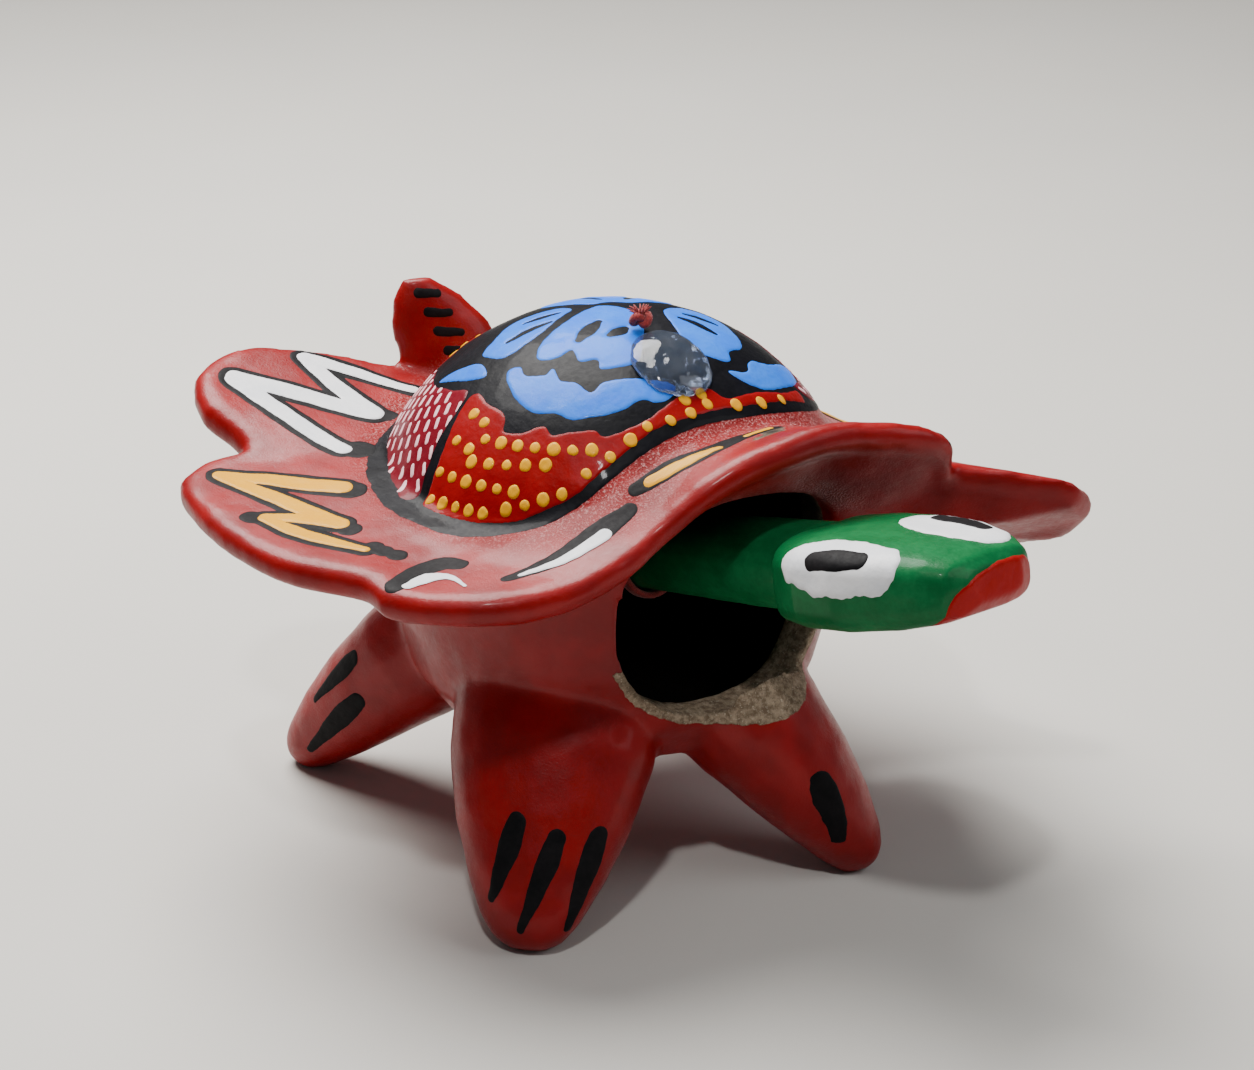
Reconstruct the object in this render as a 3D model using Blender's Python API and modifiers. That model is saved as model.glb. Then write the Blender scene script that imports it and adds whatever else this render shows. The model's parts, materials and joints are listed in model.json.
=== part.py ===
"""Painted clay turtle with a nodding head.

A hollow clay bowl stands on four luted legs and carries a domed shell with a scalloped rim.
The carved head, its neck and a clay counterweight hang inside from one thread, so the head
swings, turns and nods in the neck opening. Metres, +Z up, +X towards the head, floor at z = 0.
"""
import math

import bmesh
import bpy
from mathutils import Matrix, Vector

# ---------------------------------------------------------------- driving dimensions
GAP = 0.0003                                   # between pieces that touch
SHELL_AXIS = Vector((-0.0057, 0.0017, 0.0))       # upright axis of the bowl and the dome

DOME_RADIUS = 0.0215
DOME_CENTRE_HEIGHT = 0.0243
DOME_WALL = 0.0030
DOME_BASE_HEIGHT = 0.0330

BOWL_TOP = DOME_BASE_HEIGHT - GAP
BOWL_WALL = 0.0030
BOWL_OUTER = [(0.0, 0.0098), (0.0105, 0.0100), (0.0150, 0.0116), (0.0176, 0.0152),
              (0.0189, 0.0205), (0.0194, 0.0275), (0.0196, BOWL_TOP)]        # radius, height
TURN_STEPS = 48

OPENING_AZIMUTH = 10.0                         # degrees from +X, counted towards the left side
OPENING_HALF_WIDTH = 0.0108
OPENING_BOTTOM = 0.0160
OPENING_TOP = 0.0355
OPENING_REACH = (0.0080, 0.0270)               # the cutter's ends, from the shell axis
OPENING_SQUARENESS = 2.4

THREAD_OFFSET = Vector((0.0042, 0.0006, 0.0))  # thread hole from the shell axis
THREAD_HOLE_RADIUS = 0.0010
THREAD_HOLE_DEPTH = 0.0200
THREAD_TOP_INSET = 0.0002                      # top of the thread below the dome's surface
ANCHOR_KNOT_RADIUS = 0.0012
THREAD_RADIUS = 0.0004
THREAD_MIDDLE_HEIGHT = 0.0390

RIM_LIP = 0.0026                               # thickness of the rounded edge
RIM_STEPS = 96
RIM_DIP = 0.0004                               # hollow of the top face between dome and lip
RIM_UNDER_CURVE = 1.35
# azimuth in degrees, reach from the shell axis, height of the middle of the lip (both mm)
RIM_EDGE = [(-180, 21.8, 33.0), (-166, 23.6, 33.0), (-155, 25.5, 33.8), (-145, 31.0, 35.6),
            (-136, 36.2, 36.8), (-128, 37.3, 36.4), (-120, 35.3, 35.2), (-113, 31.0, 33.4),
            (-109, 34.8, 33.0), (-104, 36.9, 32.7), (-93, 35.9, 32.2), (-77, 33.9, 31.6),
            (-64, 31.2, 31.4), (-60, 32.0, 31.0), (-47, 30.6, 31.2), (-34, 27.8, 31.8),
            (-23, 24.6, 33.4), (-14, 22.6, 35.6), (-5, 22.4, 38.0), (8, 22.8, 39.8),
            (23, 24.2, 40.6), (34, 28.0, 40.0), (41, 30.2, 38.2), (45, 29.6, 34.8),
            (47, 35.5, 34.0), (50, 41.3, 33.4), (56, 39.4, 28.8), (61, 34.6, 26.8),
            (68, 30.4, 26.4), (78, 31.0, 26.2), (90, 32.0, 26.2), (102, 31.8, 26.2),
            (112, 29.0, 26.6), (118, 27.8, 27.2), (126, 31.4, 28.0), (135, 34.4, 29.6),
            (144, 35.2, 31.4), (153, 32.6, 32.4), (161, 27.4, 32.6), (169, 23.4, 32.8)]
# azimuth, height where the top of the rim meets the dome, height of its root below (mm)
RIM_ROOT = [(-180, 34.6, 31.0), (-98, 34.0, 30.4), (-60, 33.6, 29.6), (-38, 35.2, 30.2),
            (-18, 38.6, 34.4), (5, 39.8, 35.6), (28, 39.4, 34.0), (50, 37.0, 27.0),
            (68, 35.0, 26.0), (100, 33.8, 27.4), (140, 34.0, 29.6)]

LEG_STATIONS = [(0.00, 8.4, 6.4), (0.30, 8.0, 5.8), (0.55, 6.7, 4.8), (0.75, 5.2, 3.8),
                (0.90, 3.8, 2.8), (0.98, 2.6, 2.0), (1.02, 1.2, 1.0)]   # along, half sizes (mm)
LEG_WIDTH = {"leg_front_right": 1.08, "leg_front_left": 0.78, "leg_rear_right": 0.74,
             "leg_rear_left": 0.74}
LEG_ROOT_HEIGHT = 0.0175
LEG_BOW = 0.10                                 # outward bow at the knee, as a share of the stride
LEG_SQUARENESS = 2.2
TOE_HEIGHT = 0.0006
FEET = {"leg_front_right": ((0.0080, -0.0085), (0.0208, -0.0178)),
        "leg_front_left": ((0.0112, 0.0030), (0.0210, 0.0138)),
        "leg_rear_right": ((-0.0060, -0.0100), (-0.0186, -0.0228)),
        "leg_rear_left": ((-0.0060, 0.0100), (-0.0186, 0.0222))}        # root, toe from the axis

TAIL_STATIONS = [(-0.0212, -0.0050, 0.0341, 4.6, 1.5), (-0.0219, -0.0055, 0.0358, 4.9, 1.5),
                 (-0.0228, -0.0063, 0.0384, 4.5, 1.4), (-0.0235, -0.0072, 0.0409, 3.1, 1.2),
                 (-0.0239, -0.0080, 0.0426, 1.3, 0.8)]     # place from the axis, half sizes (mm)
TAIL_FACING = 82.0                             # degrees: azimuth of the fin's width

HEAD_YAW = 19.5
HEAD_PITCH = 14.0
HEAD_TWIST = -5.0
NOD_HEIGHT = 0.0306                            # nod pivot, at the foot of the thread knot
NECK_DROP = 0.0049                             # from the nod pivot down to the neck's axis
KNOT_RADIUS = 0.0011
LOOP_RADIUS = 0.0005
NECK_STATIONS = [(-0.0030, 2.9, 2.9), (0.0000, 3.0, 3.0), (0.0070, 3.4, 3.2),
                 (0.0140, 4.2, 3.4), (0.0198, 4.6, 3.4)]   # along the neck, half sizes (mm)
HEAD_STATIONS = [(0.0201, 5.2, 2.9), (0.0209, 6.8, 3.4), (0.0240, 8.0, 3.6), (0.0280, 8.2, 3.5),
                 (0.0320, 7.3, 3.2), (0.0350, 6.2, 2.7), (0.0368, 5.0, 2.1), (0.0375, 3.2, 1.3)]
HEAD_SQUARENESS = 4.0
NECK_SQUARENESS = 2.2
COUNTERWEIGHT_CENTRE = -0.0111
COUNTERWEIGHT_SIZE = (0.0075, 0.0071, 0.0061)

DAB_OFFSET = Vector((0.0086, 0.0012, 0.0))     # glue drop from the shell axis
DAB_SIZE = (0.0040, 0.0035, 0.0022)
MM = 0.001


# ---------------------------------------------------------------- scene helpers
def clear_scene():
    for item in list(bpy.data.objects):
        bpy.data.objects.remove(item, do_unlink=True)


def make_collection(name):
    group = bpy.data.collections.new(name)
    bpy.context.scene.collection.children.link(group)
    return group


def make_material(name, colour, roughness):
    material = bpy.data.materials.new(name)
    material.use_nodes = True
    shader = material.node_tree.nodes["Principled BSDF"]
    shader.inputs["Base Color"].default_value = (*colour, 1.0)
    shader.inputs["Roughness"].default_value = roughness
    shader.inputs["Metallic"].default_value = 0.0
    return material


def add_object(name, bm, group, material=None, place=None):
    bmesh.ops.recalc_face_normals(bm, faces=bm.faces)
    mesh = bpy.data.meshes.new(name)
    bm.to_mesh(mesh)
    bm.free()
    mesh.shade_smooth()
    mesh.set_sharp_from_angle(angle=math.radians(40))
    if material:
        mesh.materials.append(material)
    item = bpy.data.objects.new(name, mesh)
    group.objects.link(item)
    if place:
        item.matrix_world = place
    return item


def add_empty(name, group, place):
    empty = bpy.data.objects.new(name, None)
    empty.empty_display_size = 0.004
    group.objects.link(empty)
    empty.matrix_world = place
    return empty


def hold(child, parent):
    """Parent a piece without moving it."""
    bpy.context.view_layer.update()
    child.parent = parent
    child.matrix_parent_inverse = parent.matrix_world.inverted()


def cut(item, cutter):
    cutter.hide_render = True
    cutter.display_type = "WIRE"
    boolean = item.modifiers.new("cut_" + cutter.name, "BOOLEAN")
    boolean.operation = "DIFFERENCE"
    boolean.object = cutter
    boolean.solver = "EXACT"


# ---------------------------------------------------------------- shape helpers
def loft(rings, closed=False):
    """Skin rings of equal length; a closed loft joins the last ring to the first."""
    bm = bmesh.new()
    loops = [[bm.verts.new(point) for point in ring] for ring in rings]
    size = len(loops[0])
    pairs = list(zip(loops, loops[1:]))
    if closed:
        pairs.append((loops[-1], loops[0]))
    else:
        bm.faces.new(reversed(loops[0]))
        bm.faces.new(loops[-1])
    for first, second in pairs:
        for k in range(size):
            after = (k + 1) % size
            bm.faces.new((first[k], first[after], second[after], second[k]))
    return bm


def oval(centre, across, up, half_width, half_height, squareness=2.0, sides=20):
    """A ring of points; a squareness of 2 is an ellipse, more is boxier."""
    ring = []
    for k in range(sides):
        angle = 2 * math.pi * k / sides
        c, s = math.cos(angle), math.sin(angle)
        x = math.copysign(abs(c) ** (2 / squareness), c) * half_width
        y = math.copysign(abs(s) ** (2 / squareness), s) * half_height
        ring.append(centre + across * x + up * y)
    return ring


def around(points, azimuth, column):
    """Smooth value round the shell, through points sorted by azimuth in degrees."""
    count = len(points)
    for k in range(count):
        a = points[k][0]
        b = points[(k + 1) % count][0] + (360 if k == count - 1 else 0)
        turned = azimuth if azimuth >= a else azimuth + 360
        if a <= turned <= b:
            break
    before, low, high, after = (points[(k + step) % count] for step in (-1, 0, 1, 2))
    width = b - a
    width_before = (a - before[0]) % 360
    width_after = (after[0] - high[0]) % 360
    slope = (high[column] - low[column]) / width
    slope_before = (low[column] - before[column]) / width_before
    slope_after = (after[column] - high[column]) / width_after
    start = 0 if slope * slope_before <= 0 else 2 * slope * slope_before / (slope + slope_before)
    end = 0 if slope * slope_after <= 0 else 2 * slope * slope_after / (slope + slope_after)
    t = (turned - a) / width
    return ((2 * t**3 - 3 * t**2 + 1) * low[column] + (t**3 - 2 * t**2 + t) * width * start
            + (3 * t**2 - 2 * t**3) * high[column] + (t**3 - t**2) * width * end)


def lathe(name, profile, group, material=None):
    """Turn a closed profile of (radius, height) points about the shell axis."""
    mesh = bpy.data.meshes.new(name)
    count = len(profile)
    edges = [(k, (k + 1) % count) for k in range(count)]
    mesh.from_pydata([(radius, 0.0, height) for radius, height in profile], edges, [])
    item = bpy.data.objects.new(name, mesh)
    group.objects.link(item)
    item.location = SHELL_AXIS
    if material:
        mesh.materials.append(material)
    screw = item.modifiers.new("turn", "SCREW")
    screw.steps = TURN_STEPS
    screw.render_steps = TURN_STEPS
    screw.use_merge_vertices = True
    screw.merge_threshold = 0.00001
    screw.use_smooth_shade = True
    return item


# ---------------------------------------------------------------- shell and bowl
def dome_radius_at(height):
    return math.sqrt(DOME_RADIUS**2 - (height - DOME_CENTRE_HEIGHT)**2)


def bowl_radius_at(height):
    for (low_radius, low), (high_radius, high) in zip(BOWL_OUTER, BOWL_OUTER[1:]):
        if low <= height <= high:
            return low_radius + (high_radius - low_radius) * (height - low) / (high - low)
    return BOWL_OUTER[-1][0]


def wall_radius_at(height):
    return dome_radius_at(height) if height >= DOME_BASE_HEIGHT else bowl_radius_at(height)


def cap_arc(radius, steps):
    """Arc of the dome from its top down to its base, as (radius, height) points."""
    sweep = math.acos((DOME_BASE_HEIGHT - DOME_CENTRE_HEIGHT) / radius)
    angles = [sweep * k / steps for k in range(steps + 1)]
    return [(radius * math.sin(angle), DOME_CENTRE_HEIGHT + radius * math.cos(angle)) for angle in angles]


def make_dome(group, material):
    outer = cap_arc(DOME_RADIUS, 10)
    inner = cap_arc(DOME_RADIUS - DOME_WALL, 8)
    return lathe("shell_dome", outer + inner[::-1], group, material)


def inset(profile, distance):
    """Move a profile's points inwards, square to the outline."""
    moved = []
    for k, (radius, height) in enumerate(profile):
        before = profile[max(k - 1, 0)]
        after = profile[min(k + 1, len(profile) - 1)]
        along = Vector((after[0] - before[0], after[1] - before[1])).normalized()
        moved.append((max(radius - along.y * distance, 0.0), height + along.x * distance))
    moved[0] = (0.0, moved[0][1])
    moved[-1] = (moved[-1][0], profile[-1][1])
    return moved


def make_bowl(group, material):
    return lathe("body_bowl", BOWL_OUTER[::-1] + inset(BOWL_OUTER, BOWL_WALL), group, material)


def make_thread_hole(group):
    bm = bmesh.new()
    bmesh.ops.create_cone(bm, cap_ends=True, segments=16, radius1=THREAD_HOLE_RADIUS,
                          radius2=THREAD_HOLE_RADIUS, depth=THREAD_HOLE_DEPTH)
    top = DOME_CENTRE_HEIGHT + DOME_RADIUS
    place = Matrix.Translation(SHELL_AXIS + THREAD_OFFSET + Vector((0, 0, top)))
    return add_object("thread_hole_cutter", bm, group, place=place)


def make_neck_opening(group):
    """Rounded passage through the front wall of the bowl."""
    middle = (OPENING_TOP + OPENING_BOTTOM) / 2
    half_height = (OPENING_TOP - OPENING_BOTTOM) / 2
    angle = math.radians(OPENING_AZIMUTH)
    forward = Vector((math.cos(angle), math.sin(angle), 0))
    left = Vector((-math.sin(angle), math.cos(angle), 0))
    rings = [oval(SHELL_AXIS + forward * reach + Vector((0, 0, middle)), left, Vector((0, 0, 1)),
                  OPENING_HALF_WIDTH, half_height, OPENING_SQUARENESS, 28) for reach in OPENING_REACH]
    return add_object("neck_opening_cutter", loft(rings), group)


def rim_section(azimuth, grow=0.0):
    """Closed section of the scalloped rim, in metres from the shell axis."""
    reach = around(RIM_EDGE, azimuth, 1) * MM
    edge = around(RIM_EDGE, azimuth, 2) * MM
    top = around(RIM_ROOT, azimuth, 1) * MM + grow
    under = around(RIM_ROOT, azimuth, 2) * MM - grow
    lip = RIM_LIP / 2 + grow
    hub = reach - RIM_LIP / 2
    seam = max(DOME_BASE_HEIGHT, under + (top - under) / 3)
    points = []
    for height in (under, seam, (seam + top) / 2, top):
        points.append((wall_radius_at(height) + GAP - grow, height))
    start = points[-1]
    for k in (1, 2, 3):
        t = k / 4
        dip = RIM_DIP * math.sin(math.pi * t)
        points.append((start[0] + (hub - start[0]) * t, top + (edge + lip - top) * t - dip))
    for k in range(7):
        angle = math.radians(90 - 30 * k)
        points.append((hub + lip * math.cos(angle), edge + lip * math.sin(angle)))
    end = points[0]
    for k in (3, 2, 1):
        t = k / 4
        points.append((end[0] + (hub - end[0]) * t, under + (edge - lip - under) * t**RIM_UNDER_CURVE))
    angle = math.radians(azimuth)
    outward = Vector((math.cos(angle), math.sin(angle), 0))
    return [SHELL_AXIS + outward * radius + Vector((0, 0, height)) for radius, height in points]


def rim_mesh(grow=0.0):
    step = 360 / RIM_STEPS
    return loft([rim_section(-180 + step * k, grow) for k in range(RIM_STEPS)], closed=True)


# ---------------------------------------------------------------- legs and tail
def make_leg(name, group, material):
    (root_x, root_y), (toe_x, toe_y) = FEET[name]
    root = SHELL_AXIS + Vector((root_x, root_y, LEG_ROOT_HEIGHT))
    toe = SHELL_AXIS + Vector((toe_x, toe_y, TOE_HEIGHT))
    knee = (root + toe) / 2 + Vector((toe_x - root_x, toe_y - root_y, 0)) * LEG_BOW
    up = Vector((0, 0, 1))
    across = (toe - root).cross(up).normalized()
    rings = []
    for t, half_width, half_depth in LEG_STATIONS:
        centre = root * (1 - t)**2 + knee * 2 * t * (1 - t) + toe * t**2
        along = ((knee - root) * (1 - t) + (toe - knee) * t).normalized()
        depth = across.cross(along)
        width = half_width * LEG_WIDTH[name] * MM
        rings.append(oval(centre, across, depth, width, half_depth * MM, LEG_SQUARENESS, 20))
    bm = loft(rings)
    cut_edge = bmesh.ops.bisect_plane(bm, geom=bm.verts[:] + bm.edges[:] + bm.faces[:], dist=1e-7,
                                      plane_co=(0, 0, 0), plane_no=(0, 0, -1), clear_outer=True)
    edges = [part for part in cut_edge["geom_cut"] if isinstance(part, bmesh.types.BMEdge)]
    bmesh.ops.edgeloop_fill(bm, edges=edges)
    return add_object(name, bm, group, material)


def make_tail(group, material):
    facing = math.radians(TAIL_FACING)
    across = Vector((math.cos(facing), math.sin(facing), 0))
    centres = [SHELL_AXIS + Vector(station[:3]) for station in TAIL_STATIONS]
    rings = []
    for k, station in enumerate(TAIL_STATIONS):
        along = centres[min(k + 1, len(centres) - 1)] - centres[max(k - 1, 0)]
        depth = across.cross(along.normalized()).normalized()
        rings.append(oval(centres[k], across, depth, station[3] * MM, station[4] * MM, 2.0, 16))
    return add_object("tail_fin", loft(rings), group, material)


# ---------------------------------------------------------------- head on its thread
def head_frame():
    place = SHELL_AXIS + THREAD_OFFSET + Vector((0, 0, NOD_HEIGHT))
    turn = Matrix.Rotation(math.radians(HEAD_YAW), 4, "Z")
    tip = Matrix.Rotation(math.radians(-HEAD_PITCH), 4, "Y")
    return Matrix.Translation(place) @ turn @ tip


def make_along_neck(name, stations, squareness, twist, sides, group, material):
    """A piece on the neck's axis, which passes below the nod pivot."""
    angle = math.radians(twist)
    across = Vector((0, math.cos(angle), math.sin(angle)))
    up = Vector((0, -math.sin(angle), math.cos(angle)))
    rings = [oval(Vector((along, 0, -NECK_DROP)), across, up, half_width * MM, half_height * MM,
                  squareness, sides) for along, half_width, half_height in stations]
    return add_object(name, loft(rings), group, material, head_frame())


def make_counterweight(group, material):
    bm = bmesh.new()
    bmesh.ops.create_uvsphere(bm, u_segments=24, v_segments=14, radius=1.0)
    size = Matrix.Diagonal((*COUNTERWEIGHT_SIZE, 1.0))
    shift = Matrix.Translation((COUNTERWEIGHT_CENTRE, 0, -NECK_DROP))
    bmesh.ops.transform(bm, matrix=shift @ size, verts=bm.verts)
    return add_object("neck_counterweight", bm, group, material, head_frame())


def make_loop(group, material):
    """Ring of thread tied round the neck under the knot."""
    major = NECK_STATIONS[1][1] * MM + GAP + LOOP_RADIUS
    turns, sides = 28, 8
    rings = []
    for k in range(turns):
        angle = 2 * math.pi * k / turns
        outward = Vector((0, math.cos(angle), math.sin(angle)))
        centre = Vector((0, 0, -NECK_DROP)) + outward * major
        rings.append(oval(centre, outward, Vector((1, 0, 0)), LOOP_RADIUS, LOOP_RADIUS, 2.0, sides))
    return add_object("neck_loop", loft(rings, closed=True), group, material, head_frame())


def make_thread(name, low, high, group, material):
    bm = bmesh.new()
    bmesh.ops.create_cone(bm, cap_ends=True, segments=10, radius1=THREAD_RADIUS,
                          radius2=THREAD_RADIUS, depth=high - low)
    bmesh.ops.translate(bm, verts=bm.verts, vec=(0, 0, (low - high) / 2))
    place = Matrix.Translation(SHELL_AXIS + THREAD_OFFSET + Vector((0, 0, high)))
    return add_object(name, bm, group, material, place)


def make_ball(name, centre, radius, group, material=None):
    bm = bmesh.new()
    bmesh.ops.create_uvsphere(bm, u_segments=14, v_segments=9, radius=radius)
    return add_object(name, bm, group, material, Matrix.Translation(centre))


def make_dab(group, material):
    """Drop of glue lying on the dome."""
    bm = bmesh.new()
    bmesh.ops.create_uvsphere(bm, u_segments=24, v_segments=12, radius=1.0)
    bmesh.ops.transform(bm, matrix=Matrix.Diagonal((*DAB_SIZE, 1.0)), verts=bm.verts)
    radius = DAB_OFFSET.length
    height = DOME_CENTRE_HEIGHT + math.sqrt(DOME_RADIUS**2 - radius**2)
    normal = (DAB_OFFSET + Vector((0, 0, height - DOME_CENTRE_HEIGHT))).normalized()
    turn = Vector((0, 0, 1)).rotation_difference(normal).to_matrix().to_4x4()
    place = Matrix.Translation(SHELL_AXIS + DAB_OFFSET + Vector((0, 0, height))) @ turn
    return add_object("glue_dab", bm, group, material, place)


# ---------------------------------------------------------------- assembly
def build():
    clear_scene()
    parts = make_collection("nodding_turtle")
    cutters = make_collection("cutters")
    red = make_material("red_enamel", (0.38, 0.02, 0.02), 0.25)
    black = make_material("painted_shell", (0.06, 0.12, 0.40), 0.15)
    green = make_material("green_enamel", (0.02, 0.20, 0.07), 0.25)
    thread = make_material("red_thread", (0.45, 0.03, 0.03), 0.8)
    glue = make_material("clear_glue", (0.55, 0.62, 0.70), 0.1)

    dome = make_dome(parts, black)
    cut(dome, make_thread_hole(cutters))
    bowl = make_bowl(parts, red)
    rim = add_object("shell_rim", rim_mesh(), parts, red)
    opening = make_neck_opening(cutters)
    for piece in (dome, bowl, rim):
        cut(piece, opening)

    grown = inset(BOWL_OUTER, -GAP)
    bowl_cutter = lathe("bowl_cutter", grown[::-1] + [(0.0, BOWL_TOP)], cutters)
    for name in FEET:
        leg = make_leg(name, parts, red)
        cut(leg, bowl_cutter)
    rim_cutter = add_object("rim_cutter", rim_mesh(GAP), cutters)
    tail = make_tail(parts, red)
    cut(tail, rim_cutter)
    cut(tail, bowl_cutter)

    hole = SHELL_AXIS + THREAD_OFFSET
    hole_height = DOME_CENTRE_HEIGHT + math.sqrt(DOME_RADIUS**2 - THREAD_OFFSET.length**2)
    knot_top = NOD_HEIGHT + 2 * KNOT_RADIUS + 2 * GAP
    anchor = hole + Vector((0, 0, hole_height + ANCHOR_KNOT_RADIUS + GAP))
    make_ball("anchor_knot", anchor, ANCHOR_KNOT_RADIUS, parts, thread)
    dab = make_dab(parts, glue)
    dome_solid = cap_arc(DOME_RADIUS + GAP, 10) + [(0.0, DOME_BASE_HEIGHT)]
    dome_cutter = lathe("dome_cutter", dome_solid, cutters)
    cut(dab, dome_cutter)
    cut(dab, make_ball("knot_cutter", anchor, ANCHOR_KNOT_RADIUS + GAP, cutters))

    def on_thread(height):
        return hole + Vector((0, 0, height))

    swing = add_empty("fore_aft_swing_axis", parts, Matrix.Translation(on_thread(hole_height)))
    sway = add_empty("side_swing_axis", parts, Matrix.Translation(on_thread(THREAD_MIDDLE_HEIGHT)))
    turn = add_empty("turn_axis", parts, Matrix.Translation(on_thread(knot_top)))
    nod = add_empty("nod_axis", parts, head_frame())
    thread_top = hole_height - THREAD_TOP_INSET
    upper = make_thread("upper_thread", THREAD_MIDDLE_HEIGHT + GAP / 2, thread_top, parts, thread)
    lower = make_thread("lower_thread", knot_top, THREAD_MIDDLE_HEIGHT - GAP / 2, parts, thread)
    knot = make_ball("thread_knot", on_thread(NOD_HEIGHT + GAP + KNOT_RADIUS), KNOT_RADIUS, parts, thread)
    neck = make_along_neck("neck", NECK_STATIONS, NECK_SQUARENESS, 0.0, 20, parts, green)
    head = make_along_neck("head", HEAD_STATIONS, HEAD_SQUARENESS, HEAD_TWIST, 28, parts, green)
    weight = make_counterweight(parts, green)
    loop = make_loop(parts, thread)
    hold(sway, swing)
    hold(turn, sway)
    hold(nod, turn)
    hold(upper, swing)
    hold(lower, sway)
    hold(knot, turn)
    for piece in (neck, head, weight, loop):
        hold(piece, nod)


build()
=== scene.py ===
"""Painted clay turtle with a nodding head: the visible pieces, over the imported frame.

The clay body is one skin made from the frame's own parts, so that the joins are luted over as
in hand-built clay. Enamel paint lies on it as thin raised pieces with crisp brushed edges. The
frame is in metres; shapes of paint are drawn in millimetres on charts laid over the clay, and their
azimuths are in degrees from straight ahead to the left.
"""
import json
import math

import bmesh
import bpy
import numpy as np
from mathutils import Matrix, Vector, noise
from mathutils.bvhtree import BVHTree


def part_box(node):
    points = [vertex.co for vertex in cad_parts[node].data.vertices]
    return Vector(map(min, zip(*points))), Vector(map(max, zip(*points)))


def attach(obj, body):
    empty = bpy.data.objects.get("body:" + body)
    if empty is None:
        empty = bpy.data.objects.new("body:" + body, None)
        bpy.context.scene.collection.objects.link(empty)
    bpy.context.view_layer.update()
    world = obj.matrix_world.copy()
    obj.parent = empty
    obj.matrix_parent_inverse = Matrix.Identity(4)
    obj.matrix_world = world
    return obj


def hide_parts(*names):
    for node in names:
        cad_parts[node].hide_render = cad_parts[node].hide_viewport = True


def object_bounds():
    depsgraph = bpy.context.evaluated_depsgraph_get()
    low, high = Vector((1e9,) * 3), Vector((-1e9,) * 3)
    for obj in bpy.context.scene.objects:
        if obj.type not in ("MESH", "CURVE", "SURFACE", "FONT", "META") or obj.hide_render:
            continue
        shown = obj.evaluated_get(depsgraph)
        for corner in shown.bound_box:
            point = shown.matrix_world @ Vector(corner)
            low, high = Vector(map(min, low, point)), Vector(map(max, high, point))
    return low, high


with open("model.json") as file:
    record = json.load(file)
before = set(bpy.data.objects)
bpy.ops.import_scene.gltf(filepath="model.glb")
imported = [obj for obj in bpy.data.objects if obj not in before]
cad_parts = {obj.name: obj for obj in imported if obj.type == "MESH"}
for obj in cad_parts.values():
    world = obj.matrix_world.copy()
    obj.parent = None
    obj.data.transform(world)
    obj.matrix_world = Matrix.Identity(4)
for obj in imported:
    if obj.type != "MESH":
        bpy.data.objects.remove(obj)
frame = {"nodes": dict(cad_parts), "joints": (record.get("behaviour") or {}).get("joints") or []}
CAD_LOW, CAD_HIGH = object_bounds()
MM = 0.001
scene = bpy.context.scene

# ---------------------------------------------------------------- sizes of the clay, and places in the frame
PAINT_ROOM = 0.15 * MM                         # left between the clay and the sides of the CAD box
FLOOR_ROOM = 0.01 * MM                         # left between the clay and the floor
DOME_RADIUS = 21.5 * MM                        # of the sphere that the dome is a cap of
dome_low, dome_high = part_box("shell_dome")
DOME_BASE_RADIUS = math.sqrt(DOME_RADIUS**2 - (dome_low.z - dome_high.z + DOME_RADIUS)**2)
AXIS = Vector((dome_low.x + DOME_BASE_RADIUS, (dome_low.y + dome_high.y) / 2, 0))
DOME_CENTRE = AXIS + Vector((0, 0, dome_high.z - DOME_RADIUS))
OPENING_AZIMUTH = math.radians(10)
OPENING_MIDDLE = 25.75 * MM                    # height of the neck opening's middle
OPENING_HALF = (10.8 * MM, 9.75 * MM)          # half width and half height of the neck opening
JOINTS = {joint["name"]: joint for joint in frame["joints"]}


def middle(node):
    low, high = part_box(node)
    return (low + high) / 2


HEAD_ALONG = (middle("head") - middle("neck_counterweight")).normalized()
HEAD_LEFT = Vector(JOINTS["head_nod"]["axis"]).normalized()
HEAD_UP = HEAD_ALONG.cross(HEAD_LEFT).normalized()
WEIGHT_BEHIND = 11.1 * MM                      # from the knot on the neck back to the counterweight
HEAD_ORIGIN = middle("neck_counterweight") + HEAD_ALONG * WEIGHT_BEHIND


# ---------------------------------------------------------------- mesh helpers
def new_object(name, mesh):
    item = bpy.data.objects.new(name, mesh)
    scene.collection.objects.link(item)
    return item


def finish_piece(item, body, slot, material, *nodes):
    item.data.materials.clear()
    item.data.materials.append(material)
    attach(item, body)
    if nodes:
        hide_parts(*nodes)


def apply_modifiers(item):
    depsgraph = bpy.context.evaluated_depsgraph_get()
    mesh = bpy.data.meshes.new_from_object(item.evaluated_get(depsgraph))
    item.modifiers.clear()
    item.data = mesh
    return mesh


def coordinates(mesh):
    places = np.empty(len(mesh.vertices) * 3)
    mesh.vertices.foreach_get("co", places)
    return places.reshape(-1, 3)


def set_coordinates(mesh, places):
    mesh.vertices.foreach_set("co", places.ravel())
    mesh.update()


def vertex_normals(mesh):
    normals = np.empty(len(mesh.vertices) * 3, dtype=np.float32)
    mesh.vertex_normals.foreach_get("vector", normals)
    return normals.reshape(-1, 3).astype(float)


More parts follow.
